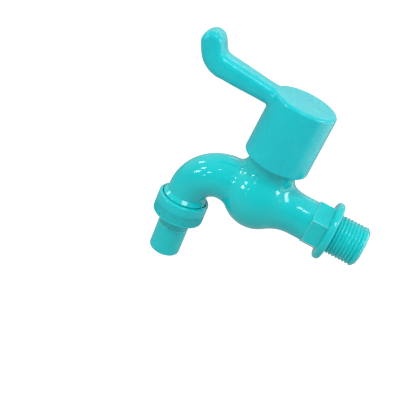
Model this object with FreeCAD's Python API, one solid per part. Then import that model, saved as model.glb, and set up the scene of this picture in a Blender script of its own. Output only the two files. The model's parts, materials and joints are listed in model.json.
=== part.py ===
import FreeCAD, Part
import math
import os

# Plastic bib tap with a quarter-turn lever, millimetres.
# Origin: centre of the flange face that meets the wall. +X runs into the wall, +Z is up,
# the spout reaches out along -X and the lever lies over it with the tap shut.

# Inlet end
inlet_thread_diameter = 20.955
inlet_thread_length = 16.5
inlet_thread_chamfer = 1.5
inlet_bore_diameter = 12.0
flange_diameter = 30.6
flange_thickness = 3.9
flange_edge_radius = 1.7
hexagon_across_flats = 21.6
hexagon_length = 8.3
neck_diameter = 21.1

# Bulb and bonnet
wall_to_handle_axis = 41.2
bulb_diameter = 35.6
inlet_flare_radius = 19.5
bonnet_diameter = 25.2
bonnet_height = 24.0
bonnet_fillet = 6.4
cartridge_bore_diameter = 18.8
seat_height = 2.0
seat_port_diameter = 9.0
chamber_diameter = 16.0
chamber_offset = 1.5
chamber_depth = 5.0
partition_thickness = 2.2
duct_diameter = 8.4
duct_inset = 14.0
duct_start_drop = 2.0
duct_end_inset = 4.0
duct_end_drop = 6.0
inlet_bore_inset = 12.0

# Spout
spout_root_diameter = 23.4
spout_tube_diameter = 19.2
spout_straight = 15.7
spout_bend_radius = 17.2
spout_lean = 3.0
spout_flare_radius = 6.0
spout_bore_diameter = 13.0
spout_bore_inset = 9.0
spout_drop = 3.3
collar_diameter = 23.0
collar_height = 1.6
collar_edge_radius = 0.6
outlet_thread_diameter = 20.955
outlet_thread_length = 6.0

# Spout nut
nut_diameter = 26.8
nut_top_overlap = 1.0
nut_recess_clearance = 0.6
nut_recess_depth = 1.4
nut_shoulder_radius = 1.4
nut_foot_radius = 1.2
nut_lip_thickness = 1.6
nut_lip_clearance = 0.25
nut_rib_count = 66
nut_rib_depth = 0.35
nut_rib_start = 4.2
nut_rib_end_margin = 1.3

# Hose nozzle and its washer
washer_thickness = 1.5
washer_bore_diameter = 13.0
nozzle_flange_diameter = 20.0
nozzle_flange_thickness = 1.5
nozzle_neck_diameter = 17.2
nozzle_neck_end_diameter = 16.9
nozzle_neck_length = 4.6
nozzle_step_radius = 0.2
nozzle_barrel_diameter = 16.4
nozzle_length = 22.0
nozzle_end_radius = 1.6
nozzle_bore_diameter = 11.4

# Handle
cap_bottom_height = 20.2
cap_height = 33.3
cap_bottom_diameter = 33.5
cap_top_diameter = 32.5
cap_bottom_edge_radius = 1.2
cap_top_edge_radius = 1.9
cap_wall = 2.2
cap_top_thickness = 2.6
cap_inner_radius = 1.0
hub_diameter = 13.0
hub_length = 14.0
cap_rib_count = 4
cap_rib_angle = 45.0
cap_rib_thickness = 1.6
cap_rib_height = 9.0
lever_root_reach = 15.0
lever_root_thickness = 8.7
lever_root_width = 12.6
lever_thickness = 11.0
lever_tip_width = 15.6
lever_bend_reach = 41.9
lever_bend_rise = 6.6
lever_bend_inner_radius = 3.6
lever_bend_angle = 64.0
lever_tip_length = 4.0
lever_edge_radius = 3.4
lever_flare_radius = 7.0
lever_flare_inset = 0.1
lever_root_fillet = 2.0
handle_turn_angle = 90.0

# Cartridge
housing_collar_across_flats = 22.0
housing_collar_height = 5.0
housing_thread_length = 11.0
housing_thread_chamfer = 1.0
housing_skirt_diameter = 16.4
housing_skirt_gap = 1.2
housing_bore_diameter = 14.4
housing_window_height = 3.6
housing_window_width = 8.0
stop_rib_angle = 26.0
stop_rib_depth = 1.9
stop_play_angle = 1.0
disc_thickness = 2.5
disc_window_angle = 74.0
disc_window_inner_diameter = 3.0
disc_window_outer_diameter = 11.6
disc_slot_depth = 1.1
disc_lug_width = 3.0
drive_bar_width = 3.6
drive_bar_height = 2.2
foot_flange_height = 1.8
stem_diameter = 8.0
stem_top_height = 46.5
spline_length = 12.0
spline_teeth = 16
spline_tooth_depth = 0.5
thrust_washer_thickness = 0.8
thrust_washer_diameter = 10.2
clip_thickness = 0.8
clip_diameter = 12.0
clip_gap_angle = 60.0
clip_groove_depth = 0.7
seal_height = 2.4
seal_bore_diameter = 9.6
stem_ring_section = 1.3
stem_ring_heights = (18.5, 23.0)
housing_ring_section = 1.6

# Running and seating clearances
running_clearance = 0.06
thread_clearance = 0.05
seat_clearance = 0.1

# How far a cut runs past the face it opens, how deep a joined piece sinks into its carrier,
# and how an edge is found: its sample points and how near they lie to the surface it is on
cut_overshoot = 1.0
join_overlap = 0.2
edge_samples = 9
edge_tolerance = 0.02


# Shared geometry
def vector(x, y, z):
    return FreeCAD.Vector(x, y, z)


part_origin = vector(0, 0, 0)
x_axis = vector(1, 0, 0)
z_axis = vector(0, 0, 1)
handle_x = -wall_to_handle_axis
handle_axis_point = vector(handle_x, 0, 0)


def rounded_wire(points):
    """Closed wire in the XZ plane; a third number on a point rounds that corner."""
    count = len(points)
    corners = []
    for index, point in enumerate(points):
        here = vector(point[0], 0, point[1])
        before = points[index - 1]
        after = points[(index + 1) % count]
        radius = point[2] if len(point) > 2 else 0
        if not radius:
            corners.append((here, here, None))
            continue
        to_before = (vector(before[0], 0, before[1]) - here).normalize()
        to_after = (vector(after[0], 0, after[1]) - here).normalize()
        half_angle = to_before.getAngle(to_after) / 2
        bisector = (to_before + to_after).normalize()
        centre = here + bisector * (radius / math.sin(half_angle))
        reach = radius / math.tan(half_angle)
        middle = centre - bisector * radius
        corners.append((here + to_before * reach, here + to_after * reach, middle))
    edges = []
    for index, (start, end, middle) in enumerate(corners):
        if middle is not None:
            edges.append(Part.Arc(start, middle, end).toShape())
        following = corners[(index + 1) % count][0]
        if (following - end).Length > edge_tolerance:
            edges.append(Part.LineSegment(end, following).toShape())
    return Part.Wire(edges)


def turned(points):
    """Solid turned about Z from (radius, height) points."""
    face = Part.Face(rounded_wire(points))
    return face.revolve(part_origin, z_axis, 360)


def along(shape, origin, direction):
    """Place a shape built on +Z so that its axis runs from origin along direction."""
    placed = shape.copy()
    placed.Placement = FreeCAD.Placement(origin, FreeCAD.Rotation(z_axis, direction))
    return placed


def cylinder(diameter, start, end):
    direction = end - start
    return Part.makeCylinder(diameter / 2, direction.Length, start, direction)


def on_handle_axis(shape):
    placed = shape.copy()
    placed.translate(handle_axis_point)
    return placed


def star_prism(outer_diameter, depth, count, low, high):
    """Prism with V-shaped flutes between count ridges."""
    points = []
    for index in range(2 * count):
        angle = math.pi * index / count
        radius = outer_diameter / 2 - (depth if index % 2 else 0)
        points.append(vector(radius * math.cos(angle), radius * math.sin(angle), low))
    points.append(points[0])
    return Part.Face(Part.makePolygon(points)).extrude(vector(0, 0, high - low))


def hexagon_prism(across_flats, low, high):
    """Six-sided prism on the Z axis with two corners on the X axis."""
    corner_radius = across_flats / 2 / math.cos(math.pi / 6)
    corners = []
    for index in range(7):
        angle = math.radians(60 * index)
        corners.append(vector(corner_radius * math.cos(angle), corner_radius * math.sin(angle), low))
    return Part.Face(Part.makePolygon(corners)).extrude(vector(0, 0, high - low))


def sector_prism(radius, angle, centre_angle, low, high):
    """Pie-shaped prism about the Z axis."""
    pie = Part.makeCylinder(radius, high - low, vector(0, 0, low), z_axis, angle)
    pie.rotate(part_origin, z_axis, centre_angle - angle / 2)
    return pie


def o_ring(inner_diameter, section, height):
    ring = Part.makeTorus((inner_diameter + section) / 2, section / 2)
    ring.translate(vector(0, 0, height))
    return ring


# Heights of the cartridge stack above the inlet axis
seal_top = seat_height + seal_height
fixed_disc_top = seal_top + disc_thickness
moving_disc_top = fixed_disc_top + disc_thickness
drive_bar_top = moving_disc_top + drive_bar_height
foot_top = drive_bar_top + foot_flange_height
thrust_washer_top = foot_top + thrust_washer_thickness
collar_top = bonnet_height + housing_collar_height
clip_bottom = collar_top + seat_clearance
cap_top = cap_bottom_height + cap_height
cap_ceiling = cap_top - cap_top_thickness
hub_bottom = cap_ceiling - hub_length
housing_shoulder = thrust_washer_top + seat_clearance
stop_rib_centre = 90.0
disc_diameter = housing_bore_diameter - 2 * running_clearance
stem_bore_diameter = stem_diameter + 2 * running_clearance
stem_ring_inner_diameter = stem_bore_diameter - 2 * stem_ring_section
housing_o_ring_outer_diameter = cartridge_bore_diameter + 2 * housing_ring_section

# Spout centre line: straight out of the bulb, then a bend that ends leaning back
lean = math.radians(spout_lean)
bend_centre = vector(handle_x - spout_straight, 0, -spout_bend_radius)
bend_start = vector(bend_centre.x, 0, 0)
bend_middle_angle = math.radians(90 + (90 + spout_lean) / 2)
to_bend_middle = vector(math.cos(bend_middle_angle), 0, math.sin(bend_middle_angle))
bend_middle = bend_centre + to_bend_middle * spout_bend_radius
bend_end = bend_centre + vector(-math.cos(lean), 0, -math.sin(lean)) * spout_bend_radius
outlet_direction = vector(math.sin(lean), 0, -math.cos(lean))
outlet_origin = bend_end + outlet_direction * spout_drop
spout_length = spout_bend_radius * (math.pi / 2 + lean) + spout_drop
spout_taper = math.atan2((spout_root_diameter - spout_tube_diameter) / 2, spout_length)


def spout_path(start_x):
    run = Part.LineSegment(vector(start_x, 0, 0), bend_start).toShape()
    bend = Part.Arc(bend_start, bend_middle, bend_end).toShape()
    drop = Part.LineSegment(bend_end, outlet_origin).toShape()
    return Part.Wire([run, bend, drop])


def spout_tube(start_diameter, end_diameter, start_x):
    """Round tube along the spout's centre line, from its start in the bulb to the collar."""
    start_circle = Part.makeCircle(start_diameter / 2, vector(start_x, 0, 0), x_axis)
    end_circle = Part.makeCircle(end_diameter / 2, outlet_origin, outlet_direction)
    sections = [Part.Wire([start_circle]), Part.Wire([end_circle])]
    return spout_path(start_x).makePipeShell(sections, True, False)


def in_plane(angle):
    """Unit vector in the XZ plane, its angle taken from +X towards +Z."""
    return vector(math.cos(angle), 0, math.sin(angle))


def flare_beside_bulb(tube_radius, flare_radius, taper):
    """Start, middle and end of the hollow arc that touches both the bulb and a tube on its +X side."""
    height = tube_radius + flare_radius * math.cos(taper)
    reach = bulb_diameter / 2 + flare_radius
    centre = vector(math.sqrt(reach ** 2 - height ** 2), 0, height)
    meet_angle = math.atan2(centre.z, centre.x)
    end_angle = -math.pi / 2 - taper
    middle_angle = (meet_angle - math.pi + end_angle) / 2
    meet = in_plane(meet_angle) * (bulb_diameter / 2)
    middle = centre + in_plane(middle_angle) * flare_radius
    end = centre + in_plane(end_angle) * flare_radius
    return meet, middle, end


def mirrored(points):
    return [vector(-point.x, point.y, point.z) for point in points]


def bulb_and_necks():
    """Bulb with a flare to the inlet neck and one to the spout's root, turned about the inlet axis."""
    neck_meet, neck_middle, neck_start = flare_beside_bulb(neck_diameter / 2, inlet_flare_radius, 0)
    spout_flare = flare_beside_bulb(spout_root_diameter / 2, spout_flare_radius, spout_taper)
    spout_meet, spout_middle, spout_start = mirrored(spout_flare)
    neck_end = vector(wall_to_handle_axis - flange_thickness - hexagon_length / 2, 0, neck_diameter / 2)
    bulb_middle = in_plane((math.atan2(neck_meet.z, neck_meet.x) + math.atan2(spout_meet.z, spout_meet.x)) / 2)
    axis_start = vector(spout_start.x, 0, 0)
    axis_end = vector(neck_end.x, 0, 0)
    profile = Part.Wire([
        Part.LineSegment(axis_start, spout_start).toShape(),
        Part.Arc(spout_start, spout_middle, spout_meet).toShape(),
        Part.Arc(spout_meet, bulb_middle * (bulb_diameter / 2), neck_meet).toShape(),
        Part.Arc(neck_meet, neck_middle, neck_start).toShape(),
        Part.LineSegment(neck_start, neck_end).toShape(),
        Part.LineSegment(neck_end, axis_end).toShape(),
        Part.LineSegment(axis_end, axis_start).toShape(),
    ])
    turned_body = on_handle_axis(Part.Face(profile).revolve(part_origin, x_axis, 360))
    return turned_body, handle_x + spout_start.x


def blend_bonnet(shape):
    """Round the hollow where the bonnet stands on the bulb, the neck and the spout."""
    joint_edges = []
    for edge in shape.Edges:
        points = edge.discretize(edge_samples)
        gaps = [abs(math.hypot(point.x - handle_x, point.y) - bonnet_diameter / 2) for point in points]
        heights = [point.z for point in points]
        below_rim = 0 < min(heights) and max(heights) < bonnet_height - bonnet_fillet
        if max(gaps) < edge_tolerance and below_rim:
            joint_edges.append(edge)
    return shape.makeFillet(bonnet_fillet, joint_edges)


def inlet_end():
    """Hexagon, wall flange and threaded tail; the thread is at its full diameter."""
    hexagon_end = -flange_thickness - hexagon_length
    hexagon = hexagon_prism(hexagon_across_flats, hexagon_end, -flange_thickness / 2)
    flange = turned([
        (0, -flange_thickness),
        (flange_diameter / 2, -flange_thickness, flange_edge_radius),
        (flange_diameter / 2, 0, flange_edge_radius),
        (0, 0),
    ])
    thread_radius = inlet_thread_diameter / 2
    tail = turned([
        (0, -flange_thickness / 2),
        (thread_radius, -flange_thickness / 2),
        (thread_radius, inlet_thread_length - inlet_thread_chamfer),
        (thread_radius - inlet_thread_chamfer, inlet_thread_length),
        (0, inlet_thread_length),
    ])
    return along(hexagon.fuse([flange, tail]), part_origin, x_axis)


def outlet_end():
    """Collar and threaded spigot below the spout tube, built down from the collar's foot."""
    collar_radius = collar_diameter / 2
    tube_radius = spout_tube_diameter / 2
    spigot_radius = outlet_thread_diameter / 2
    shape = turned([
        (0, -collar_height - collar_radius + tube_radius),
        (tube_radius, -collar_height - collar_radius + tube_radius),
        (collar_radius, -collar_height, collar_edge_radius),
        (collar_radius, 0),
        (spigot_radius, 0),
        (spigot_radius, outlet_thread_length - seat_clearance),
        (0, outlet_thread_length - seat_clearance),
    ])
    return along(shape, outlet_origin, outlet_direction)


def cartridge_cavity():
    radius = cartridge_bore_diameter / 2
    groove_radius = housing_o_ring_outer_diameter / 2 + seat_clearance
    cavity = turned([
        (0, seat_height),
        (radius, seat_height),
        (radius, bonnet_height - housing_ring_section),
        (groove_radius, bonnet_height - housing_ring_section),
        (groove_radius, bonnet_height + cut_overshoot),
        (0, bonnet_height + cut_overshoot),
    ])
    return on_handle_axis(cavity)


def inlet_waterway():
    """Inlet bore, the duct that dips under the seat, the chamber below it and the seat port."""
    bore = cylinder(
        inlet_bore_diameter,
        vector(handle_x + inlet_bore_inset, 0, 0),
        vector(inlet_thread_length + cut_overshoot, 0, 0),
    )
    duct = cylinder(
        duct_diameter,
        vector(handle_x + duct_inset, 0, -duct_start_drop),
        vector(handle_x + duct_end_inset, 0, -duct_end_drop),
    )
    duct_start_ball = Part.makeSphere(duct_diameter / 2, vector(handle_x + duct_inset, 0, -duct_start_drop))
    chamber_centre = vector(handle_x + chamber_offset, 0, -chamber_depth)
    chamber = Part.makeSphere(chamber_diameter / 2, chamber_centre)
    roof = Part.makeBox(
        2 * chamber_diameter, 2 * chamber_diameter, chamber_diameter,
        vector(handle_x - chamber_diameter, -chamber_diameter, seat_height - partition_thickness),
    )
    port = cylinder(
        seat_port_diameter,
        vector(handle_x, 0, -chamber_depth),
        vector(handle_x, 0, seat_height + cut_overshoot),
    )
    return [bore, duct, duct_start_ball, chamber.cut(roof), port]


def outlet_waterway():
    tube = spout_tube(spout_bore_diameter, spout_bore_diameter, handle_x - spout_bore_inset)
    mouth = cylinder(
        spout_bore_diameter,
        outlet_origin - outlet_direction * join_overlap,
        outlet_origin + outlet_direction * (outlet_thread_length + cut_overshoot),
    )
    return [tube, mouth]


def tap_body():
    shape, spout_start_x = bulb_and_necks()
    shape = shape.fuse(spout_tube(spout_root_diameter, spout_tube_diameter, spout_start_x))
    shape = shape.fuse(cylinder(bonnet_diameter, handle_axis_point, vector(handle_x, 0, bonnet_height)))
    shape = blend_bonnet(shape)
    shape = shape.fuse([inlet_end(), outlet_end()])
    return shape.cut([cartridge_cavity()] + inlet_waterway() + outlet_waterway())


# Spout nut, washer and hose nozzle, built down from the collar's foot
washer_bottom = outlet_thread_length + washer_thickness
nozzle_flange_bottom = washer_bottom + nozzle_flange_thickness
nut_bottom = nozzle_flange_bottom + nut_lip_thickness
nut_recess_radius = collar_diameter / 2 + nut_recess_clearance
nut_thread_radius = outlet_thread_diameter / 2 + thread_clearance


def at_outlet(shape):
    return along(shape, outlet_origin, outlet_direction)


def spout_nut():
    radius = nut_diameter / 2
    lip_radius = nozzle_neck_diameter / 2 + nut_lip_clearance
    shape = turned([
        (lip_radius, nut_bottom),
        (radius, nut_bottom, nut_foot_radius),
        (radius, -nut_top_overlap, nut_shoulder_radius),
        (nut_recess_radius, -nut_top_overlap),
        (nut_recess_radius, nut_recess_depth - nut_top_overlap),
        (nut_thread_radius, nut_recess_depth - nut_top_overlap),
        (nut_thread_radius, nozzle_flange_bottom),
        (lip_radius, nozzle_flange_bottom),
    ])
    ribs = star_prism(
        nut_diameter, nut_rib_depth, nut_rib_count, nut_rib_start, nut_bottom - nut_rib_end_margin
    )
    rib_length = ribs.BoundBox.ZLength
    band = Part.makeCylinder(radius + cut_overshoot, rib_length, vector(0, 0, nut_rib_start))
    return at_outlet(shape.cut(band.cut(ribs)))


def nozzle_washer():
    ring = turned([
        (washer_bore_diameter / 2, outlet_thread_length),
        (nozzle_flange_diameter / 2, outlet_thread_length),
        (nozzle_flange_diameter / 2, washer_bottom),
        (washer_bore_diameter / 2, washer_bottom),
    ])
    return at_outlet(ring)


def hose_nozzle():
    bore = nozzle_bore_diameter / 2
    neck = nozzle_neck_diameter / 2
    barrel = nozzle_barrel_diameter / 2
    barrel_start = nut_bottom + nozzle_neck_length
    bottom = nut_bottom + nozzle_length
    shape = turned([
        (bore, washer_bottom),
        (nozzle_flange_diameter / 2, washer_bottom),
        (nozzle_flange_diameter / 2, nozzle_flange_bottom),
        (neck, nozzle_flange_bottom),
        (neck, nut_bottom),
        (nozzle_neck_end_diameter / 2, barrel_start, nozzle_step_radius),
        (barrel, barrel_start),
        (barrel, bottom, nozzle_end_radius),
        (bore, bottom),
    ])
    return at_outlet(shape)


# Handle: cap, lever and the hub that grips the stem
def cap_outside():
    return turned([
        (0, cap_bottom_height),
        (cap_bottom_diameter / 2, cap_bottom_height, cap_bottom_edge_radius),
        (cap_top_diameter / 2, cap_top, cap_top_edge_radius),
        (0, cap_top),
    ])


def cap_hollow():
    """Space under the cap's skin, less the hub and the ribs that stay."""
    lower = cap_bottom_diameter / 2 - cap_wall
    upper = cap_top_diameter / 2 - cap_wall
    hollow = turned([
        (0, cap_bottom_height - cut_overshoot),
        (lower, cap_bottom_height - cut_overshoot),
        (upper, cap_ceiling, cap_inner_radius),
        (0, cap_ceiling),
    ])
    hub = Part.makeCylinder(hub_diameter / 2, hub_length + join_overlap, vector(0, 0, hub_bottom))
    hollow = hollow.cut(hub)
    for index in range(cap_rib_count):
        rib = Part.makeBox(
            cap_bottom_diameter / 2, cap_rib_thickness, cap_rib_height + join_overlap,
            vector(0, -cap_rib_thickness / 2, cap_ceiling - cap_rib_height),
        )
        rib.rotate(part_origin, z_axis, cap_rib_angle + 360 * index / cap_rib_count)
        hollow = hollow.cut(rib)
    return hollow


def lever_plan():
    """Outline from above: runs out of the cap with a flare on each side and widens to the tip."""
    cap_radius = cap_top_diameter / 2 - lever_flare_inset
    half_root = lever_root_width / 2
    half_tip = lever_tip_width / 2
    far_x = -(lever_bend_reach + 2 * lever_thickness)
    flare_y = half_root + lever_flare_radius
    flare_x = math.sqrt((cap_radius + lever_flare_radius) ** 2 - flare_y ** 2)
    share = cap_radius / (cap_radius + lever_flare_radius)

    def side_points(side):
        centre = vector(-flare_x, side * flare_y, 0)
        meet = centre * share
        start = vector(-flare_x, side * half_root, 0)
        middle_direction = ((meet - centre).normalize() + (start - centre).normalize()).normalize()
        return meet, centre + middle_direction * lever_flare_radius, start, vector(far_x, side * half_tip, 0)

    near_meet, near_middle, near_start, near_end = side_points(-1)
    far_meet, far_middle, far_start, far_end = side_points(1)
    outline = Part.Wire([
        Part.Arc(far_meet, vector(cap_radius, 0, 0), near_meet).toShape(),
        Part.Arc(near_meet, near_middle, near_start).toShape(),
        Part.LineSegment(near_start, near_end).toShape(),
        Part.LineSegment(near_end, far_end).toShape(),
        Part.LineSegment(far_end, far_start).toShape(),
        Part.Arc(far_start, far_middle, far_meet).toShape(),
    ])
    plan = Part.Face(outline).extrude(vector(0, 0, 3 * cap_height))
    plan.translate(vector(0, 0, cap_bottom_height))
    return plan


def tangent_point(point, centre, radius, side):
    """Where the line from a point in the XZ plane touches a circle; side picks which of the two."""
    to_centre = centre - point
    distance = to_centre.Length
    heading = math.atan2(to_centre.z, to_centre.x) + side * math.asin(radius / distance)
    length = math.sqrt(distance ** 2 - radius ** 2)
    return point + vector(math.cos(heading), 0, math.sin(heading)) * length


def lever_side():
    """Outline from the side: rises gently from the cap's top, then bends up to a round tip."""
    inner = lever_bend_inner_radius
    outer = inner + lever_thickness
    half = lever_thickness / 2
    centre = vector(-lever_bend_reach, 0, cap_top + lever_bend_rise)
    root_top = vector(-lever_root_reach, 0, cap_top)
    root_bottom = root_top - vector(0, 0, lever_root_thickness)
    top_touch = tangent_point(root_top, centre, inner, 1)
    bottom_touch = tangent_point(root_bottom, centre, outer, 1)
    hidden_shift = cap_top_diameter / 2 / (root_top.x - top_touch.x)
    hidden_top = root_top + (root_top - top_touch) * hidden_shift
    hidden_bottom = root_bottom + (root_bottom - bottom_touch) * hidden_shift

    def on_bend(radius, turn):
        return centre - vector(math.sin(turn), 0, math.cos(turn)) * radius

    def turn_of(point):
        return math.atan2(centre.x - point.x, centre.z - point.z)

    last_turn = math.radians(lever_bend_angle)
    heading = vector(-math.cos(last_turn), 0, math.sin(last_turn))
    tip_inner = on_bend(inner, last_turn) + heading * lever_tip_length
    tip_outer = on_bend(outer, last_turn) + heading * lever_tip_length
    tip_end = (tip_inner + tip_outer) / 2 + heading * half
    outer_middle = on_bend(outer, (turn_of(bottom_touch) + last_turn) / 2)
    inner_middle = on_bend(inner, (turn_of(top_touch) + last_turn) / 2)
    outline = Part.Wire([
        Part.LineSegment(hidden_top, hidden_bottom).toShape(),
        Part.LineSegment(hidden_bottom, bottom_touch).toShape(),
        Part.Arc(bottom_touch, outer_middle, on_bend(outer, last_turn)).toShape(),
        Part.LineSegment(on_bend(outer, last_turn), tip_outer).toShape(),
        Part.Arc(tip_outer, tip_end, tip_inner).toShape(),
        Part.LineSegment(tip_inner, on_bend(inner, last_turn)).toShape(),
        Part.Arc(on_bend(inner, last_turn), inner_middle, top_touch).toShape(),
        Part.LineSegment(top_touch, hidden_top).toShape(),
    ])
    side = Part.Face(outline).extrude(vector(0, 4 * lever_tip_width, 0))
    side.translate(vector(0, -2 * lever_tip_width, 0))
    return side


def lever():
    """The arm's plan and side outlines crossed, with every long edge rounded."""
    blank = lever_plan().common(lever_side())
    long_edges = []
    for edge in blank.Edges:
        box = edge.BoundBox
        one_side = box.YMin > 0 or box.YMax < 0
        if one_side and box.XMax < 0 and box.XLength > edge_tolerance:
            long_edges.append(edge)
    return blank.makeFillet(lever_edge_radius, long_edges)


def blend_lever_root(shape):
    """Round the hollow where the arm's sides and underside leave the cap."""
    taper = (cap_top_diameter - cap_bottom_diameter) / 2 / cap_height
    root_edges = []
    for edge in shape.Edges:
        points = edge.discretize(edge_samples)
        gaps = [
            math.hypot(point.x, point.y) - cap_bottom_diameter / 2 - taper * (point.z - cap_bottom_height)
            for point in points
        ]
        on_cap = max(abs(gap) for gap in gaps) < edge_tolerance
        heights = [point.z for point in points]
        below_rim = max(heights) < cap_top - cap_top_edge_radius
        above_foot = min(heights) > cap_top - 2 * lever_root_thickness
        if on_cap and below_rim and above_foot and max(point.x for point in points) < 0:
            root_edges.append(edge)
    return shape.makeFillet(lever_root_fillet, root_edges)


def handle():
    """Cap, lever and the hub with a splined socket, moulded in one."""
    shape = blend_lever_root(cap_outside().fuse(lever())).cut(cap_hollow())
    socket = star_prism(
        stem_diameter + 2 * running_clearance, spline_tooth_depth, spline_teeth,
        hub_bottom - cut_overshoot, stem_top_height + seat_clearance,
    )
    return on_handle_axis(shape.cut(socket))


# Quarter-turn cartridge, all turned about the handle axis
def cartridge_housing():
    skirt_bottom = seat_height + housing_skirt_gap
    thread_bottom = bonnet_height - housing_thread_length
    bore = housing_bore_diameter / 2
    body = turned([
        (stem_bore_diameter / 2, bonnet_height + seat_clearance),
        (stem_bore_diameter / 2, housing_shoulder),
        (bore, housing_shoulder),
        (bore, skirt_bottom),
        (housing_skirt_diameter / 2, skirt_bottom),
        (housing_skirt_diameter / 2, thread_bottom),
        (cartridge_bore_diameter / 2 - thread_clearance, thread_bottom + housing_thread_chamfer),
        (cartridge_bore_diameter / 2 - thread_clearance, bonnet_height + seat_clearance),
    ])
    collar = hexagon_prism(housing_collar_across_flats, bonnet_height, collar_top)
    shaft_hole = Part.makeCylinder(stem_bore_diameter / 2, 2 * collar_top)
    body = body.fuse(collar.cut(shaft_hole))
    across_skirt = housing_skirt_diameter + 2 * cut_overshoot
    window = Part.makeBox(
        across_skirt, housing_window_width, housing_window_height,
        vector(-across_skirt / 2, -housing_window_width / 2, fixed_disc_top),
    )
    slot_width = disc_lug_width + 2 * running_clearance
    slot = Part.makeBox(
        slot_width, across_skirt, fixed_disc_top - skirt_bottom + cut_overshoot,
        vector(-slot_width / 2, -across_skirt / 2, skirt_bottom - cut_overshoot),
    )
    rib = sector_prism(
        bore + join_overlap, stop_rib_angle, stop_rib_centre,
        drive_bar_top, housing_shoulder + join_overlap,
    )
    rib_core = Part.makeCylinder(bore - stop_rib_depth, 2 * housing_shoulder)
    return on_handle_axis(body.cut([window, slot]).fuse(rib.cut(rib_core)))


def bow_tie(centre_angle, low, high):
    """Two opposite windows of a sealing disc."""
    windows = []
    core = Part.makeCylinder(disc_window_inner_diameter / 2, high - low, vector(0, 0, low))
    for side in (0, 180):
        window = sector_prism(
            disc_window_outer_diameter / 2, disc_window_angle, centre_angle + side, low, high
        )
        windows.append(window.cut(core))
    return windows


def fixed_disc():
    disc = Part.makeCylinder(disc_diameter / 2, disc_thickness, vector(0, 0, seal_top))
    lugs = Part.makeBox(
        disc_lug_width, housing_skirt_diameter, disc_thickness,
        vector(-disc_lug_width / 2, -housing_skirt_diameter / 2, seal_top),
    )
    windows = bow_tie(0, seal_top - cut_overshoot, fixed_disc_top + cut_overshoot)
    return on_handle_axis(disc.fuse(lugs).cut(windows))


def moving_disc():
    disc = Part.makeCylinder(disc_diameter / 2, disc_thickness, vector(0, 0, fixed_disc_top))
    slot_width = drive_bar_width + 2 * running_clearance
    slot = Part.makeBox(
        disc_diameter, slot_width, disc_slot_depth + cut_overshoot,
        vector(-disc_diameter / 2, -slot_width / 2, moving_disc_top - disc_slot_depth),
    )
    windows = bow_tie(handle_turn_angle, fixed_disc_top - cut_overshoot, moving_disc_top + cut_overshoot)
    return on_handle_axis(disc.cut(windows + [slot]))


def stem():
    """Spindle: drive bar, stop flange, ring grooves, clip groove and spline."""
    radius = stem_diameter / 2
    spline_bottom = stem_top_height - spline_length
    shaft = Part.makeCylinder(radius, spline_bottom - drive_bar_top, vector(0, 0, drive_bar_top))
    spline = star_prism(stem_diameter, spline_tooth_depth, spline_teeth, spline_bottom, stem_top_height)
    flange = Part.makeCylinder(disc_diameter / 2, foot_flange_height, vector(0, 0, drive_bar_top))
    notch = sector_prism(
        disc_diameter, handle_turn_angle + stop_rib_angle + 2 * stop_play_angle,
        stop_rib_centre - handle_turn_angle / 2, drive_bar_top - cut_overshoot, foot_top + cut_overshoot,
    )
    notch_core = Part.makeCylinder(
        housing_bore_diameter / 2 - stop_rib_depth - 2 * seat_clearance, 2 * foot_top
    )
    bar_bottom = moving_disc_top - disc_slot_depth + seat_clearance
    bar = Part.makeBox(
        disc_diameter, drive_bar_width, drive_bar_top - bar_bottom,
        vector(-disc_diameter / 2, -drive_bar_width / 2, bar_bottom),
    )
    bar = bar.common(Part.makeCylinder(disc_diameter / 2, 2 * foot_top))
    shape = shaft.fuse([spline, flange.cut(notch.cut(notch_core)), bar])
    cut_radius = radius + cut_overshoot
    cuts = []
    for height in stem_ring_heights:
        groove_bottom = vector(0, 0, height - stem_ring_section / 2)
        ring_groove = Part.makeCylinder(cut_radius, stem_ring_section, groove_bottom)
        cuts.append(ring_groove.cut(Part.makeCylinder(stem_ring_inner_diameter / 2, 2 * height)))
    clip_groove = Part.makeCylinder(cut_radius, clip_thickness + seat_clearance, vector(0, 0, clip_bottom))
    cuts.append(clip_groove.cut(Part.makeCylinder(radius - clip_groove_depth, 2 * clip_bottom)))
    return on_handle_axis(shape.cut(cuts))


def stem_o_ring(height):
    section = stem_ring_section - running_clearance
    return on_handle_axis(o_ring(stem_ring_inner_diameter, section, height))


def stem_clip():
    ring = Part.makeCylinder(clip_diameter / 2, clip_thickness, vector(0, 0, clip_bottom))
    hole = Part.makeCylinder(stem_diameter / 2 - clip_groove_depth, 2 * clip_bottom)
    mouth = sector_prism(clip_diameter, clip_gap_angle, 0, 0, 2 * clip_bottom)
    return on_handle_axis(ring.cut([hole, mouth]))


def thrust_washer():
    ring = Part.makeCylinder(thrust_washer_diameter / 2, thrust_washer_thickness, vector(0, 0, foot_top))
    hole = Part.makeCylinder(stem_bore_diameter / 2, 2 * foot_top)
    return on_handle_axis(ring.cut(hole))


def seat_seal():
    return on_handle_axis(turned([
        (seal_bore_diameter / 2, seat_height),
        (disc_diameter / 2, seat_height),
        (disc_diameter / 2, seal_top),
        (seal_bore_diameter / 2, seal_top),
    ]))


def housing_o_ring():
    section = housing_ring_section - running_clearance
    height = bonnet_height - housing_ring_section / 2
    return on_handle_axis(o_ring(cartridge_bore_diameter, section, height))


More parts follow.
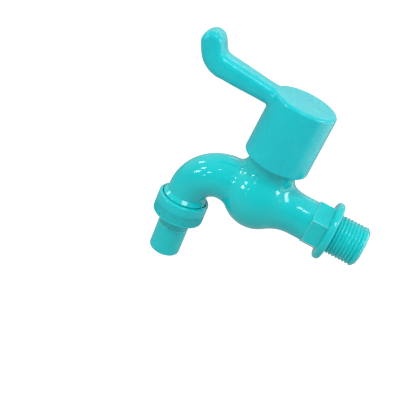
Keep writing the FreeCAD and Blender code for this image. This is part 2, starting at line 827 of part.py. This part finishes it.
parts = {
    "tap_body": tap_body,
    "cartridge_housing": cartridge_housing,
    "housing_o_ring": housing_o_ring,
    "seat_seal": seat_seal,
    "fixed_disc": fixed_disc,
    "moving_disc": moving_disc,
    "stem": stem,
    "thrust_washer": thrust_washer,
    "stem_o_ring_lower": lambda: stem_o_ring(stem_ring_heights[0]),
    "stem_o_ring_upper": lambda: stem_o_ring(stem_ring_heights[1]),
    "stem_clip": stem_clip,
    "handle": handle,
    "nozzle_washer": nozzle_washer,
    "hose_nozzle": hose_nozzle,
    "spout_nut": spout_nut,
}
os.makedirs("parts", exist_ok=True)
for node, build in parts.items():
    shape = build()
    print(node, shape.isValid(), len(shape.Solids), round(shape.Volume, 1))
    shape.exportStep("parts/" + node + ".step")
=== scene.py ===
import json
import math

import bmesh
import bpy
from mathutils import Matrix, Quaternion, Vector


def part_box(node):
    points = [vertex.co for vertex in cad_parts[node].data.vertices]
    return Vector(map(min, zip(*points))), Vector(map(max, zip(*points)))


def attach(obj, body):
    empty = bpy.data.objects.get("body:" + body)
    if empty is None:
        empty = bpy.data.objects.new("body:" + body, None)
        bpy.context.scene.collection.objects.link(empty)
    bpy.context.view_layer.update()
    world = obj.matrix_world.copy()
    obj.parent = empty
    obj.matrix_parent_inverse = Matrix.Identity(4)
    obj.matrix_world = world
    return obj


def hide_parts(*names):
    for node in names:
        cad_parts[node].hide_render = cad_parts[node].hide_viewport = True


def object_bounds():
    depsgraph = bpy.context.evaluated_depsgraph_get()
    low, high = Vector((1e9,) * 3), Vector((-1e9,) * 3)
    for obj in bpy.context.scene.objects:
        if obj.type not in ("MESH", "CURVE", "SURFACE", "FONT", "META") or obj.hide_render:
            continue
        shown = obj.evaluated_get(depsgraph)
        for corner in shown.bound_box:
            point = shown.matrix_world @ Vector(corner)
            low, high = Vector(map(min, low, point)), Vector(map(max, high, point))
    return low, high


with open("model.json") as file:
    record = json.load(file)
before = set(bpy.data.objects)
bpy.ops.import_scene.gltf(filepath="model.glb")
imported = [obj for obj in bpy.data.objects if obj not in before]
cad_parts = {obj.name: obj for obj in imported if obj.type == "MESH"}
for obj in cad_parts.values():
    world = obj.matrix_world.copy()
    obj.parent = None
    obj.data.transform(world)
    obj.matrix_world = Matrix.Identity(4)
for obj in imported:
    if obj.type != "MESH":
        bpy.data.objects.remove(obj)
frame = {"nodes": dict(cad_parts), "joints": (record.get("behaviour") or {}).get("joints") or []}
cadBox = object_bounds()
print("frame loaded, nodes:", len(frame["nodes"]))

mm = 0.001
mergeDistance = 0.002 * mm
sliceDistance = 0.001 * mm
xAxis = Vector((1, 0, 0))
zAxis = Vector((0, 0, 1))
joints = {joint["name"]: joint for joint in frame["joints"]}
tapAxis = Vector(joints["handle_turn"]["pos_m"])
outletFoot = Vector(joints["nut_spin"]["pos_m"])
outletWay = Vector(joints["nut_spin"]["axis"])


# small mesh helpers
def placeOn(origin, direction):
    turn = zAxis.rotation_difference(direction).to_matrix().to_4x4()
    return Matrix.Translation(origin) @ turn


def meshObject(name, bm, place=None):
    if place is not None:
        bmesh.ops.transform(bm, matrix=place, verts=bm.verts)
    mesh = bpy.data.meshes.new(name)
    bm.to_mesh(mesh)
    bm.free()
    piece = bpy.data.objects.new(name, mesh)
    bpy.context.scene.collection.objects.link(piece)
    return piece


def mergedCopy(node):
    bm = bmesh.new()
    bm.from_mesh(frame["nodes"][node].data)
    bmesh.ops.remove_doubles(bm, verts=bm.verts, dist=mergeDistance)
    return bm


def applyModifiers(piece):
    shown = piece.evaluated_get(bpy.context.evaluated_depsgraph_get())
    mesh = bpy.data.meshes.new_from_object(shown)
    piece.modifiers.clear()
    piece.data = mesh


def cutAway(piece, cutters):
    for cutter in cutters:
        step = piece.modifiers.new("cut", "BOOLEAN")
        step.operation = "DIFFERENCE"
        step.solver = "EXACT"
        step.object = cutter
        bpy.context.view_layer.update()
        applyModifiers(piece)
        bpy.data.objects.remove(cutter)


def smoothByAngle(piece, degrees):
    mesh = piece.data
    mesh.shade_smooth()
    mesh.set_sharp_from_angle(angle=math.radians(degrees))
    weigh = piece.modifiers.new("even faces", "WEIGHTED_NORMAL")
    weigh.keep_sharp = True
    weigh.weight = 50
    applyModifiers(piece)


def boundaryLoop(bm, height, tolerance):
    return [
        edge for edge in bm.edges
        if edge.is_boundary and all(abs(vert.co.z - height) < tolerance for vert in edge.verts)
    ]


# pipe thread: a ring-shaped cutter whose inner wall is the helix
pipeThread = {
    "pitch": 1.814 * mm,
    "crest": 10.43 * mm,      # a touch under the solid's cylinder, so that all of it is cut
    "root": 9.74 * mm,
    "outside": 11.6 * mm,
    "runOut": 1.3 * mm,
    "crestWidth": 0.70,       # 1 is a plain wave, less makes broad crests and narrow roots
    "turnsBefore": 2,
    "turnsSpare": 3,
    "stepsRound": 120,
    "pointsPerPitch": 12,
}


def threadHelix(start, end):
    pitch = pipeThread["pitch"]
    points = pipeThread["pointsPerPitch"]
    steps = pipeThread["stepsRound"]
    depth = pipeThread["crest"] - pipeThread["root"]
    bm = bmesh.new()
    profile = []
    count = (math.ceil((end - start) / pitch) + pipeThread["turnsSpare"]) * points
    for index in range(count + 1):
        height = start + (index / points - pipeThread["turnsBefore"]) * pitch
        rise = (0.5 + 0.5 * math.cos(2 * math.pi * index / points)) ** pipeThread["crestWidth"]
        profile.append(bm.verts.new((pipeThread["root"] + depth * rise, 0, height)))
    edges = [bm.edges.new(pair) for pair in zip(profile, profile[1:])]
    bmesh.ops.spin(
        bm, geom=profile + edges, axis=zAxis, angle=2 * math.pi, steps=steps,
        dvec=(0, 0, pitch / steps), use_merge=False,
    )
    bmesh.ops.remove_doubles(bm, verts=bm.verts, dist=sliceDistance)
    for height, clearInner, clearOuter in ((start, True, False), (end, False, True)):
        bmesh.ops.bisect_plane(
            bm, geom=bm.verts[:] + bm.edges[:] + bm.faces[:], dist=0.1 * sliceDistance,
            plane_co=(0, 0, height), plane_no=zAxis, clear_inner=clearInner, clear_outer=clearOuter,
        )
    return bm


def threadCutter(name, start, end, place):
    bm = threadHelix(start, end)
    crest = pipeThread["crest"]
    for vert in bm.verts:        # the groove runs out over the last stretch
        left = min(1, (end - vert.co.z) / pipeThread["runOut"])
        radius = math.hypot(vert.co.x, vert.co.y)
        faded = crest + (radius - crest) * math.sqrt(max(left, 0))
        vert.co.xy = vert.co.xy * (faded / radius)
    rims = []
    for height in (start, end):
        loop = boundaryLoop(bm, height, sliceDistance)
        grown = bmesh.ops.extrude_edge_only(bm, edges=loop)["geom"]
        for vert in (item for item in grown if isinstance(item, bmesh.types.BMVert)):
            vert.co.xy = vert.co.xy.normalized() * pipeThread["outside"]
        rims += [item for item in grown if isinstance(item, bmesh.types.BMEdge)]
    rims = [edge for edge in rims if edge.is_boundary]
    bmesh.ops.bridge_loops(bm, edges=rims)
    bmesh.ops.recalc_face_normals(bm, faces=bm.faces)
    return meshObject(name, bm, place)


# body: the moulded tap with its hexagon's edges softened and given a painted highlight, and both
# threads cut
bodyLook = {
    "hexStart": -12.2 * mm,
    "hexEnd": -3.9 * mm,
    "hexFlat": 10.8 * mm,
    "neckRadius": 10.55 * mm,
    "near": 0.02 * mm,
    "flatTilt": 0.01,
    "flatAngle": math.radians(1),
    "shortest": 0.5 * mm,          # an edge along the hexagon is longer than this
    "hexEdgeRadius": 0.24 * mm,
    "tailThreadStart": 0.15 * mm,
    "tailPlainEnd": 1.7 * mm,
    "spigotThreadStart": 0.35 * mm,
    "spigotPlainEnd": 0.5 * mm,
    "smoothAngle": 32,
}


def outFromTail(vert):
    return math.hypot(vert.co.y, vert.co.z)


def joinHexagonFlats(bm):
    # each flat of the hexagon becomes one face, so that its bevel is even
    near = bodyLook["near"]
    low = bodyLook["hexStart"] - near
    high = bodyLook["hexEnd"] + near
    flats = [
        face for face in bm.faces
        if all(low < vert.co.x < high for vert in face.verts)
        and abs(face.normal.x) < bodyLook["flatTilt"]
        and all(outFromTail(vert) > bodyLook["hexFlat"] - near for vert in face.verts)
    ]
    inner = {edge for face in flats for edge in face.edges}
    bmesh.ops.dissolve_limit(
        bm, angle_limit=bodyLook["flatAngle"], verts=[], edges=list(inner), delimit={"NORMAL"}
    )


def hexagonEdges(bm):
    near = bodyLook["near"]
    start = bodyLook["hexStart"]
    end = bodyLook["hexEnd"]
    corner = bodyLook["hexFlat"] / math.cos(math.pi / 6)
    found = []
    for edge in bm.edges:
        if not all(abs(outFromTail(vert) - corner) < near for vert in edge.verts):
            continue
        places = [vert.co.x for vert in edge.verts]
        inside = start - near < min(places) and max(places) < end + near
        along = max(places) - min(places) > bodyLook["shortest"] and inside
        across = all(
            abs(vert.co.x - start) < near and outFromTail(vert) > bodyLook["neckRadius"] + near
            for vert in edge.verts
        )
        if along or across:
            found.append(edge)
    return found


def softenHexagon(bm):
    joinHexagonFlats(bm)
    toRound = hexagonEdges(bm)
    print("hexagon edges rounded:", len(toRound))
    # the rounded edges' faces are marked for a painted highlight, a lighter tone in the base colour
    paintedHighlight = bm.faces.layers.float.new("paintedEdgeHighlight")
    rounded = bmesh.ops.bevel(
        bm, geom=toRound, offset=bodyLook["hexEdgeRadius"], offset_type="OFFSET", affect="EDGES",
        segments=4, profile=0.5, material=-1, clamp_overlap=True,
    )
    for face in rounded["faces"]:
        face[paintedHighlight] = 1


def makeTapBody():
    bm = mergedCopy("tap_body")
    softenHexagon(bm)
    piece = meshObject("tapBody", bm)
    tailEnd = cadBox[1].x - bodyLook["tailPlainEnd"]
    spigotEnd = joints["nozzle_drop"]["range_m"][1] - bodyLook["spigotPlainEnd"]
    cutters = [
        threadCutter("tailThread", bodyLook["tailThreadStart"], tailEnd, placeOn(Vector(), xAxis)),
        threadCutter(
            "spigotThread", bodyLook["spigotThreadStart"], spigotEnd, placeOn(outletFoot, outletWay)
        ),
    ]
    cutAway(piece, cutters)
    smoothByAngle(piece, bodyLook["smoothAngle"])
    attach(piece, "tap")
    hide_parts("tap_body")
    return piece


# handle: the lever's edges melt into its sides, as on a moulding with soft edges
leverLook = {
    "rootReach": 17.5 * mm,     # from the handle's axis out to where the softening starts
    "blend": 7 * mm,
    "grid": 0.75 * mm,
    "closest": 0.07 * mm,
    "rounds": 75,
    "foldAngle": math.radians(45),
    "foldTries": 4,
    "letOut": 0.13 * mm,
    "smoothAngle": 40,
}


def gridLever(bm, seam):
    # an even grid of small faces, so that smoothing works the same everywhere
    grid = leverLook["grid"]
    low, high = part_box("handle")
    for axis, start, end in ((0, low.x, seam), (1, low.y, high.y), (2, low.z, high.z)):
        normal = Vector((0, 0, 0))
        normal[axis] = 1
        for index in range(math.ceil((end - start) / grid)):
            height = start + (index + 0.5) * grid
            parts = set()
            for face in bm.faces:
                reach = [vert.co[axis] for vert in face.verts]
                if min(reach) < height < max(reach) and min(vert.co.x for vert in face.verts) < seam:
                    parts.add(face)
                    parts.update(face.verts)
                    parts.update(face.edges)
            bmesh.ops.bisect_plane(
                bm, geom=list(parts), dist=sliceDistance, plane_co=normal * height, plane_no=normal
            )
    lever = [vert for vert in bm.verts if vert.co.x < seam - grid]
    bmesh.ops.remove_doubles(bm, verts=lever, dist=leverLook["closest"])
    crossing = [face for face in bm.faces if len(face.verts) > 3 and face.verts[0].co.x < seam]
    bmesh.ops.triangulate(bm, faces=crossing)


def smoothLever(bm, seam):
    # later rounds start further out, so the softening grows from nothing at the cap
    for index in range(leverLook["rounds"]):
        reach = seam - leverLook["blend"] * index / leverLook["rounds"]
        bmesh.ops.smooth_vert(
            bm, verts=[vert for vert in bm.verts if vert.co.x < reach], factor=0.5,
            use_axis_x=True, use_axis_y=True, use_axis_z=True,
        )


def closeFolds(bm, seam):
    # slivers that smoothing has folded over are closed up
    for attempt in range(leverLook["foldTries"]):
        bm.normal_update()
        folded = [
            edge for edge in bm.edges
            if len(edge.link_faces) == 2 and max(vert.co.x for vert in edge.verts) < seam
            and edge.calc_face_angle(0) > leverLook["foldAngle"]
        ]
        if not folded:
            break
        bmesh.ops.collapse(bm, edges=folded)
    print("folded edges left:", len(folded))


def softenLever(bm):
    seam = tapAxis.x - leverLook["rootReach"]
    gridLever(bm, seam)
    smoothLever(bm, seam)
    closeFolds(bm, seam)
    for vert in bm.verts:        # smoothing drew the lever in, so it is let out again
        share = min(max((seam - vert.co.x) / leverLook["blend"], 0), 1)
        vert.co += vert.normal * leverLook["letOut"] * share
    print("lever softened, faces:", len(bm.faces))


# nut: deeper valleys between the ribs, darkened with painted shade
nutLook = {
    "ribTop": 4.2 * mm,
    "ribFoot": 9.3 * mm,
    "near": 0.1 * mm,
    "valley": 13.2 * mm,
    "bore": 12.6 * mm,
    "deeper": 0.10 * mm,
    "smoothAngle": 28,
}


def alongOutlet(vert):
    # how far down the spout's axis a point lies, and its arm out from that axis
    rise = (vert.co - outletFoot).dot(outletWay)
    return rise, vert.co - outletFoot - outletWay * rise


def deepenRibs(bm):
    near = nutLook["near"]
    paintedShade = bm.verts.layers.float.new("paintedGrooveShade")
    for vert in bm.verts:
        rise, arm = alongOutlet(vert)
        if (nutLook["ribTop"] - near < rise < nutLook["ribFoot"] + near
                and nutLook["bore"] < arm.length < nutLook["valley"]):
            vert.co -= arm.normalized() * nutLook["deeper"]
            # the valleys are marked for painted shade
            vert[paintedShade] = 1


# nozzle: the neck narrows and takes a painted shadow under the nut, and the barrel starts with a
# rounded shoulder that takes a painted highlight
nozzleLook = {
    "neckTop": 10.4 * mm,       # just inside the nut
    "neckFoot": 16.3 * mm,
    "aboveFoot": 0.05 * mm,
    "shoulder": 0.55 * mm,
    "neckTopRadius": 8.55 * mm,
    "neckFootRadius": 7.85 * mm,
    "barrelRadius": 8.2 * mm,
    "bore": 7.6 * mm,
    "rings": 8,
    "firstRing": 0.1,
    "ringSpread": 1.5,          # more than 1 crowds the rings towards the neck
    "shade": 0.75,              # how much of the painted shade's tone the neck takes
    # how much of the painted highlight's tone the shoulder takes
    "rub": 0.30,
    "smoothAngle": 32,
}


def neckHeights():
    top = nozzleLook["neckTop"]
    foot = nozzleLook["neckFoot"]
    rings = nozzleLook["rings"]
    heights = [top, (top + foot) / 2, foot - nozzleLook["aboveFoot"]]
    for index in range(rings + 1):
        share = ((index + nozzleLook["firstRing"]) / rings) ** nozzleLook["ringSpread"]
        heights.append(foot + nozzleLook["shoulder"] * share)
    return heights


def shapeNeck(bm):
    top = nozzleLook["neckTop"]
    foot = nozzleLook["neckFoot"]
    shoulder = nozzleLook["shoulder"]
    paintedShade = bm.verts.layers.float.new("paintedGrooveShade")
    paintedHighlight = bm.verts.layers.float.new("paintedEdgeHighlight")
    for height in neckHeights():
        bmesh.ops.bisect_plane(
            bm, geom=bm.verts[:] + bm.edges[:] + bm.faces[:], dist=sliceDistance,
            plane_co=outletFoot + outletWay * height, plane_no=outletWay,
        )
    for vert in bm.verts:
        rise, arm = alongOutlet(vert)
        if arm.length < nozzleLook["bore"] or not top < rise < foot + shoulder:
            continue
        if rise < foot:
            share = (rise - top) / (foot - top)
            radius = nozzleLook["neckTopRadius"] * (1 - share) + nozzleLook["neckFootRadius"] * share
            # the neck is marked for painted shade
            vert[paintedShade] = nozzleLook["shade"]
        else:
            share = math.sqrt(1 - (1 - (rise - foot) / shoulder) ** 2)
            radius = nozzleLook["neckFootRadius"] * (1 - share) + nozzleLook["barrelRadius"] * share
            # the shoulder is marked for a painted highlight
            vert[paintedHighlight] = nozzleLook["rub"]
        vert.co += arm.normalized() * (radius - arm.length)
    bmesh.ops.remove_doubles(bm, verts=bm.verts, dist=mergeDistance)
    bmesh.ops.dissolve_degenerate(bm, dist=mergeDistance, edges=bm.edges)


def makeShapedPiece(name, node, body, shape, degrees):
    bm = mergedCopy(node)
    shape(bm)
    piece = meshObject(name, bm)
    smoothByAngle(piece, degrees)
    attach(piece, body)
    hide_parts(node)
    return piece


# nodes that the finishes are made of
def newFinish(name):
    finish = bpy.data.materials.new(name)
    finish.use_nodes = True
    tree = finish.node_tree
    return finish, tree, tree.nodes["Principled BSDF"]


def noiseNode(tree, scale, detail=3, roughness=0.5, stretch=(1, 1, 1)):
    place = tree.nodes.new("ShaderNodeTexCoord")
    mapping = tree.nodes.new("ShaderNodeMapping")
    mapping.inputs["Scale"].default_value = stretch
    noise = tree.nodes.new("ShaderNodeTexNoise")
    noise.inputs["Scale"].default_value = scale
    noise.inputs["Detail"].default_value = detail
    noise.inputs["Roughness"].default_value = roughness
    tree.links.new(place.outputs["Object"], mapping.inputs["Vector"])
    tree.links.new(mapping.outputs["Vector"], noise.inputs["Vector"])
    return noise.outputs["Fac"]


def rangeNode(tree, source, low, high, fromLow=0.35, fromHigh=0.65):
    node = tree.nodes.new("ShaderNodeMapRange")
    node.inputs["From Min"].default_value = fromLow
    node.inputs["From Max"].default_value = fromHigh
    node.inputs["To Min"].default_value = low
    node.inputs["To Max"].default_value = high
    tree.links.new(source, node.inputs["Value"])
    return node.outputs["Result"]


def mathNode(tree, operation, first, second):
    node = tree.nodes.new("ShaderNodeMath")
    node.operation = operation
    for place, value in enumerate((first, second)):
        if isinstance(value, (int, float)):
            node.inputs[place].default_value = value
        else:
            tree.links.new(value, node.inputs[place])
    return node.outputs[0]


def twoTone(tree, source, first, second):
    ramp = tree.nodes.new("ShaderNodeValToRGB")
    ramp.color_ramp.elements[0].position = 0.35
    ramp.color_ramp.elements[1].position = 0.65
    ramp.color_ramp.elements[0].color = (*first, 1)
    ramp.color_ramp.elements[1].color = (*second, 1)
    tree.links.new(source, ramp.inputs["Fac"])
    return ramp.outputs["Color"]


def bumpNode(tree, height, distance, under=None):
    bump = tree.nodes.new("ShaderNodeBump")
    bump.inputs["Distance"].default_value = distance
    bump.inputs["Strength"].default_value = 1.0
    tree.links.new(height, bump.inputs["Height"])
    if under is not None:
        tree.links.new(under, bump.inputs["Normal"])
    return bump.outputs["Normal"]


def towards(tree, colour, mark, share, tone):
    # turns the colour towards a tone where the piece carries the mark
    place = tree.nodes.new("ShaderNodeAttribute")
    place.attribute_name = mark
    blend = tree.nodes.new("ShaderNodeMix")
    blend.data_type = "RGBA"
    tree.links.new(mathNode(tree, "MULTIPLY", place.outputs["Fac"], share), blend.inputs["Factor"])
    tree.links.new(colour, blend.inputs["A"])
    blend.inputs["B"].default_value = tone
    return blend.outputs["Result"]


# turquoise plastic: wave and grain are bump depths in millimetres
turquoise = {
    "body": {"tone": (0.008, 0.530, 0.545), "rough": 0.10, "wave": 0.030, "grain": 0.003},
    "handle": {"tone": (0.002, 0.515, 0.560), "rough": 0.25, "wave": 0.012, "grain": 0.0015},
    "nut": {"tone": (0.005, 0.530, 0.560), "rough": 0.20, "wave": 0.020, "grain": 0.006},
    "nozzle": {"tone": (0.005, 0.520, 0.535), "rough": 0.22, "wave": 0.020, "grain": 0.006},
}
plasticLook = {
    "flow": {"scale": 70, "detail": 4, "stretch": (1, 1, 0.45)},
    "flowTones": (0.95, 1.04),
    "rub": {"scale": 110, "detail": 2},
    "rubRange": (0.85, 1.2),
    "wave": {"scale": 95, "detail": 1},
    "skin": {"scale": 2600, "detail": 2},
    "ior": 1.5,
    "scatter": 0.12,
    "scatterRadius": (0.25, 1.0, 1.0),
    "scatterScale": 1.6 * mm,
}
# lighter tone for a painted highlight on edges, darker tone for painted shade in grooves and under
# the nut
markLook = {
    "paintedEdgeHighlight": {"share": 0.45, "tone": (0.30, 0.80, 0.80, 1)},
    "paintedGrooveShade": {"share": 0.38, "tone": (0.001, 0.22, 0.25, 1)},
}


def mouldedPlastic(name, look):
    # moulded colour with faint flow marks, slow sink waves, fine skin and rubbed patches, with a
    # painted highlight and painted shade where the piece is marked
    finish, tree, shader = newFinish(name)
    links = tree.links
    darker, lighter = (Vector(look["tone"]) * share for share in plasticLook["flowTones"])
    colour = twoTone(tree, noiseNode(tree, **plasticLook["flow"]), darker, lighter)
    for mark, turn in markLook.items():
        colour = towards(tree, colour, mark, turn["share"], turn["tone"])
    links.new(colour, shader.inputs["Base Color"])
    smoother, rougher = (look["rough"] * share for share in plasticLook["rubRange"])
    rub = noiseNode(tree, **plasticLook["rub"])
    links.new(rangeNode(tree, rub, smoother, rougher), shader.inputs["Roughness"])
    sunk = bumpNode(tree, noiseNode(tree, **plasticLook["wave"]), look["wave"] * mm)
    skin = bumpNode(tree, noiseNode(tree, **plasticLook["skin"]), look["grain"] * mm, under=sunk)
    links.new(skin, shader.inputs["Normal"])
    shader.inputs["IOR"].default_value = plasticLook["ior"]
    shader.inputs["Subsurface Weight"].default_value = plasticLook["scatter"]
    shader.inputs["Subsurface Radius"].default_value = plasticLook["scatterRadius"]
    shader.inputs["Subsurface Scale"].default_value = plasticLook["scatterScale"]
    return finish


# pieces inside the tap, which keep their solids
acetalLook = {
    "darker": 0.93,
    "rougher": 0.14,
    "scatter": 0.15,
    "scatterScale": 1.0 * mm,
}


def acetal(tone, rough):
    # natural acetal with fine moulding lines round the tap's axis
    return {
        "cloud": {"scale": 160, "detail": 3},
        "tones": (Vector(tone) * acetalLook["darker"], Vector(tone)),
        "rough": (rough, rough + acetalLook["rougher"]),
        "grain": {"scale": 1400, "detail": 2, "stretch": (0.05, 0.05, 1)},
        "bump": 0.012 * mm,
        "fixed": {
            "Subsurface Weight": acetalLook["scatter"],
            "Subsurface Scale": acetalLook["scatterScale"],
        },
    }


insideLooks = {
    "housingAcetal": acetal((0.80, 0.79, 0.75), 0.34),
    "stemAcetal": acetal((0.74, 0.73, 0.68), 0.30),
    "washerAcetal": acetal((0.85, 0.85, 0.85), 0.38),
    "sealRubber": {
        "cloud": {"scale": 900, "detail": 4},
        "tones": ((0.012, 0.012, 0.012), (0.03, 0.03, 0.032)),
        "rough": (0.45, 0.7),
        "grain": {"scale": 3500, "detail": 2},
        "bump": 0.02 * mm,
        "fixed": {},
    },
    "lappedCeramic": {
        "cloud": {"scale": 2200, "detail": 5, "roughness": 0.7},
        "tones": ((0.78, 0.77, 0.73), (0.86, 0.85, 0.82)),
        "rough": (0.12, 0.24),
        "bump": 0.003 * mm,
        "fixed": {},
    },
    "springSteel": {
        "cloud": {"scale": 1800, "detail": 4, "stretch": (0.08, 1, 1)},
        "tones": ((0.42, 0.42, 0.43), (0.58, 0.58, 0.6)),
        "rough": (0.22, 0.42),
        "bump": 0.01 * mm,
        "fixed": {"Metallic": 1},
    },
}
insideNodes = {
    "cartridge_housing": "housingAcetal",
    "stem": "stemAcetal",
    "thrust_washer": "washerAcetal",
    "fixed_disc": "lappedCeramic",
    "moving_disc": "lappedCeramic",
    "stem_clip": "springSteel",
    "nozzle_washer": "sealRubber",
    "housing_o_ring": "sealRubber",
    "seat_seal": "sealRubber",
    "stem_o_ring_lower": "sealRubber",
    "stem_o_ring_upper": "sealRubber",
}


def insideFinish(name, look):
    finish, tree, shader = newFinish(name)
    cloud = noiseNode(tree, **look["cloud"])
    grain = noiseNode(tree, **look["grain"]) if "grain" in look else cloud
    tree.links.new(twoTone(tree, cloud, *look["tones"]), shader.inputs["Base Color"])
    tree.links.new(rangeNode(tree, cloud, *look["rough"]), shader.inputs["Roughness"])
    tree.links.new(bumpNode(tree, grain, look["bump"]), shader.inputs["Normal"])
    for socket, value in look["fixed"].items():
        shader.inputs[socket].default_value = value
    return finish


def giveFinish(piece, finish):
    piece.data.materials.clear()
    piece.data.materials.append(finish)


def dressInside():
    finishes = {name: insideFinish(name, look) for name, look in insideLooks.items()}
    for node, name in insideNodes.items():
        for slot in frame["nodes"][node].material_slots:
            slot.material = finishes[name]


# stage: a pale floor and a sky that is white to the camera
stageLook = {
    "floorDrop": 0.30,
    "floorFront": -2.5,
    "floorBack": 9.0,
    "floorHalfWidth": 6.0,
    "floorTone": (0.30, 0.30, 0.295, 1),
    "floorRough": 0.9,
    "floorGlow": 0.95,          # added for the camera, so that the floor is as white as the backdrop
    "floorGlint": 0.12,
    "floorBounce": 0.42,
    "ambientTone": (0.95, 0.98, 1.0, 1),
    "ambient": 0.55,
    "glintFront": 0.10,         # how bright the room is in a reflection, towards the camera
    "glintBack": 0.72,
    "fadeFront": -0.7,
    "fadeBack": 0.4,
}


def makeFloor():
    bm = bmesh.new()
    bmesh.ops.create_grid(bm, x_segments=1, y_segments=1, size=1)
    depth = (stageLook["floorBack"] - stageLook["floorFront"]) / 2
    bmesh.ops.scale(bm, vec=(stageLook["floorHalfWidth"], depth, 1), verts=bm.verts)
    middle = Vector((0, stageLook["floorFront"] + depth, cadBox[0].z - stageLook["floorDrop"]))
    floor = meshObject("studioFloor", bm, Matrix.Translation(middle))
    finish, tree, shader = newFinish("studioFloor")
    shader.inputs["Roughness"].default_value = stageLook["floorRough"]
    shader.inputs["Emission Color"].default_value = (1, 1, 1, 1)
    shader.inputs["Base Color"].default_value = stageLook["floorTone"]
    rays = tree.nodes.new("ShaderNodeLightPath").outputs
    straight = mathNode(tree, "MAXIMUM", rays["Is Camera Ray"], rays["Is Transmission Ray"])
    glow = mathNode(tree, "MULTIPLY", straight, stageLook["floorGlow"])
    glint = mathNode(tree, "MULTIPLY", rays["Is Glossy Ray"], stageLook["floorGlint"])
    bounce = mathNode(tree, "MULTIPLY", rays["Is Diffuse Ray"], stageLook["floorBounce"])
    added = mathNode(tree, "ADD", mathNode(tree, "ADD", glow, glint), bounce)
    tree.links.new(added, shader.inputs["Emission Strength"])
    giveFinish(floor, finish)


def makeSky():
    # white to the camera, pale behind the tap and dim in front of it in a reflection
    sky = bpy.data.worlds.new("studioSky")
    bpy.context.scene.world = sky
    sky.use_nodes = True
    tree = sky.node_tree
    links = tree.links
    ambient = tree.nodes["Background"]
    ambient.inputs["Color"].default_value = stageLook["ambientTone"]
    ambient.inputs["Strength"].default_value = stageLook["ambient"]
    rays = tree.nodes.new("ShaderNodeLightPath").outputs
    straight = mathNode(tree, "MAXIMUM", rays["Is Camera Ray"], rays["Is Transmission Ray"])
    place = tree.nodes.new("ShaderNodeTexCoord")
    split = tree.nodes.new("ShaderNodeSeparateXYZ")
    links.new(place.outputs["Generated"], split.inputs[0])
    fade = rangeNode(
        tree, split.outputs["Y"], stageLook["glintFront"], stageLook["glintBack"],
        stageLook["fadeFront"], stageLook["fadeBack"],
    )
    seen = tree.nodes.new("ShaderNodeBackground")
    seen.inputs["Color"].default_value = (1, 1, 1, 1)
    links.new(mathNode(tree, "MAXIMUM", straight, fade), seen.inputs["Strength"])
    choose = tree.nodes.new("ShaderNodeMixShader")
    links.new(mathNode(tree, "MAXIMUM", straight, rays["Is Glossy Ray"]), choose.inputs["Fac"])
    links.new(ambient.outputs[0], choose.inputs[1])
    links.new(seen.outputs[0], choose.inputs[2])
    links.new(choose.outputs[0], tree.nodes["World Output"].inputs["Surface"])


# lamps: azimuth 0 is in front of the tap on the camera's side and 90 beyond the wall flange
lampDistance = 1.0
lamps = {
    # azimuth and elevation in degrees, width and height in metres, radiance
    "windowLeft": (-56, 11, 0.13, 0.12, 22),
    "windowUpper": (-60, 25, 0.12, 0.11, 16),
    "windowMiddle": (-37, 18, 0.06, 0.07, 12),
    "windowLow": (-34, 3, 0.05, 0.05, 12),
    "windowLeftHigh": (-38, 43, 0.06, 0.06, 10),
    "windowFarLeft": (-99, 29, 0.14, 0.16, 10),
    "windowBack": (178, 30, 0.60, 0.04, 4),
    "lampRight": (85, 36, 0.50, 0.16, 10),
    "panelRight": (108, -2, 1.30, 0.90, 1.1),
    "stripAbove": (16, 59, 0.36, 0.18, 8),
    "keyLeft": (-34, 47, 0.08, 0.08, 105),
    "keyAbove": (-10, 75, 0.30, 0.30, 7.5),
}
lampsWithoutGlint = ("keyLeft", "keyAbove")


def wayOut(azimuth, elevation):
    side = math.radians(azimuth)
    up = math.radians(elevation)
    return Vector((math.sin(side) * math.cos(up), -math.cos(side) * math.cos(up), math.sin(up)))


def makeLamps():
    centre = (cadBox[0] + cadBox[1]) / 2
    for name, (azimuth, elevation, width, height, radiance) in lamps.items():
        way = wayOut(azimuth, elevation)
        lamp = bpy.data.lights.new(name, "AREA")
        lamp.shape = "RECTANGLE"
        lamp.size = width
        lamp.size_y = height
        lamp.energy = radiance * math.pi * width * height
        holder = bpy.data.objects.new(name, lamp)
        holder.rotation_mode = "QUATERNION"
        holder.rotation_quaternion = way.to_track_quat("Z", "Y")
        holder.location = centre + way * lampDistance
        holder.visible_glossy = name not in lampsWithoutGlint
        bpy.context.scene.collection.objects.link(holder)


view = {
    "place": (-0.043917, -0.351969, 0.165885),
    "azimuth": 3.586,      # the way back from the tap to the camera
    "elevation": 27.593,
    "roll": 26.24,
    "lens": 69.9,
    "sensor": 36.0,
    "nearest": 0.01,
}


def makeCamera():
    lens = bpy.data.cameras.new("photoCamera")
    lens.lens = view["lens"]
    lens.sensor_width = view["sensor"]
    lens.clip_start = view["nearest"]
    camera = bpy.data.objects.new("photoCamera", lens)
    camera.location = view["place"]
    camera.rotation_mode = "QUATERNION"
    level = (-wayOut(view["azimuth"], view["elevation"])).to_track_quat("-Z", "Y")
    camera.rotation_quaternion = level @ Quaternion(zAxis, math.radians(view["roll"]))
    bpy.context.scene.collection.objects.link(camera)
    bpy.context.scene.camera = camera


tapBody = makeTapBody()
giveFinish(tapBody, mouldedPlastic("bodyPlastic", turquoise["body"]))
print("tap body done")
handle = makeShapedPiece(
    "handleAndLever", "handle", "handle", softenLever, leverLook["smoothAngle"]
)
giveFinish(handle, mouldedPlastic("handlePlastic", turquoise["handle"]))
print("handle done")
nut = makeShapedPiece(
    "unionNut", "spout_nut", "nut", deepenRibs, nutLook["smoothAngle"]
)
giveFinish(nut, mouldedPlastic("nutPlastic", turquoise["nut"]))
nozzle = makeShapedPiece(
    "nozzle", "hose_nozzle", "nozzle", shapeNeck, nozzleLook["smoothAngle"]
)
giveFinish(nozzle, mouldedPlastic("nozzlePlastic", turquoise["nozzle"]))
print("nut and nozzle done")
dressInside()
print("inside pieces done")
makeFloor()
makeSky()
makeLamps()
makeCamera()
bpy.context.scene.view_settings.view_transform = "Standard"
print("stage, lamps and camera done")
